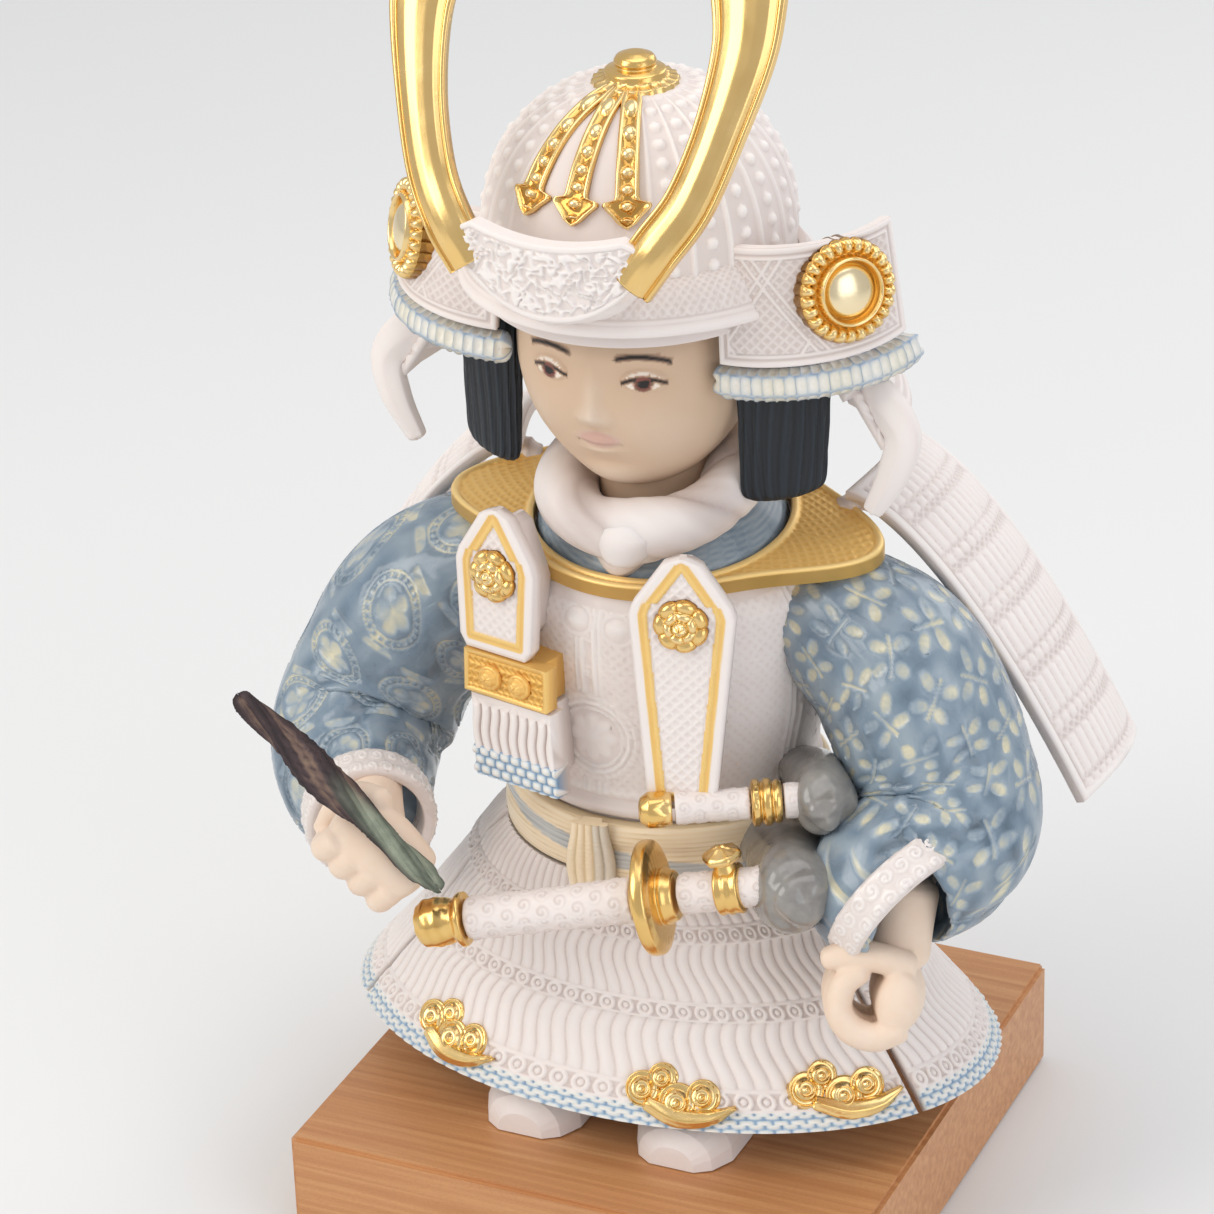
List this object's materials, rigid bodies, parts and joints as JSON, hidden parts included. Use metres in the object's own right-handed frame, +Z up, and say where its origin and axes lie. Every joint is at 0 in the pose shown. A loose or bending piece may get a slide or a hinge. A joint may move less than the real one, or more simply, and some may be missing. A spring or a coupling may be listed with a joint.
{
  "type": "porcelain samurai figurine",
  "caption": "Porcelain figurine of a boy in horned samurai armour with sword and branch, standing on a square beech block.",
  "frame": {"origin": "centre of the block's bottom face, where it stands on the shelf", "axes": "+Z up, the figure looks along -Y, its left side is on +X"},
  "size_m": [0.22, 0.1574, 0.3428],
  "materials": {
    "bisque_white": "matt bisque with fine relief",
    "gilded_porcelain": "burnished gilding",
    "blue_glaze": "blue glaze, cream on the raised pattern",
    "cream_glaze": "satin cream glaze",
    "grey_glaze": "glossy warm grey glaze",
    "painted_flesh": "matt painted bisque",
    "painted_hair": "matt blue-black paint on bisque",
    "painted_bark": "matt painted bisque, rough",
    "beech": "oiled, fine straight grain"
  },
  "bodies": {
    "root": {"boot_left": "bisque_white", "boot_right": "bisque_white", "boss_left": "gilded_porcelain", "boss_right": "gilded_porcelain", "branch": "painted_bark", "breast_plate_left": "bisque_white", "breast_plate_right": "bisque_white", "cloud_left": "gilded_porcelain", "cloud_middle": "gilded_porcelain", "cloud_right": "gilded_porcelain", "crown_crest": "gilded_porcelain", "cuirass": "bisque_white", "dagger_grip": "bisque_white", "dagger_guard": "gilded_porcelain", "dagger_pommel": "gilded_porcelain", "dagger_scabbard": "bisque_white", "gold_yoke": "gilded_porcelain", "guard_flap_left": "bisque_white", "guard_flap_right": "bisque_white", "hair_left": "painted_hair", "hair_right": "painted_hair", "hand_left": "painted_flesh", "hand_right": "painted_flesh", "head": "painted_flesh", "helmet_bowl": "bisque_white", "helmet_visor": "bisque_white", "hip_wrap": "grey_glaze", "horn_base": "bisque_white", "horn_left": "gilded_porcelain", "horn_right": "gilded_porcelain", "inner_collar": "bisque_white", "kimono_collar": "blue_glaze", "neck_guard": "bisque_white", "neck_scarf": "bisque_white", "plate_band": "gilded_porcelain", "plate_lace": "bisque_white", "rosette_left": "gilded_porcelain", "rosette_right": "gilded_porcelain", "sash": "cream_glaze", "shoulder_guard_left": "bisque_white", "shoulder_guard_right": "bisque_white", "skirt_back": "bisque_white", "skirt_front": "bisque_white", "skirt_left": "bisque_white", "skirt_right": "bisque_white", "sleeve_left": "blue_glaze", "sleeve_right": "blue_glaze", "sword_grip": "bisque_white", "sword_guard": "gilded_porcelain", "sword_hanger": "gilded_porcelain", "sword_pommel": "gilded_porcelain", "sword_scabbard": "bisque_white", "trousers": "blue_glaze", "turnback_braid_left": "blue_glaze", "turnback_braid_right": "blue_glaze", "turnback_left": "bisque_white", "turnback_right": "bisque_white", "wooden_base": "beech"}
  },
  "joints": []
}
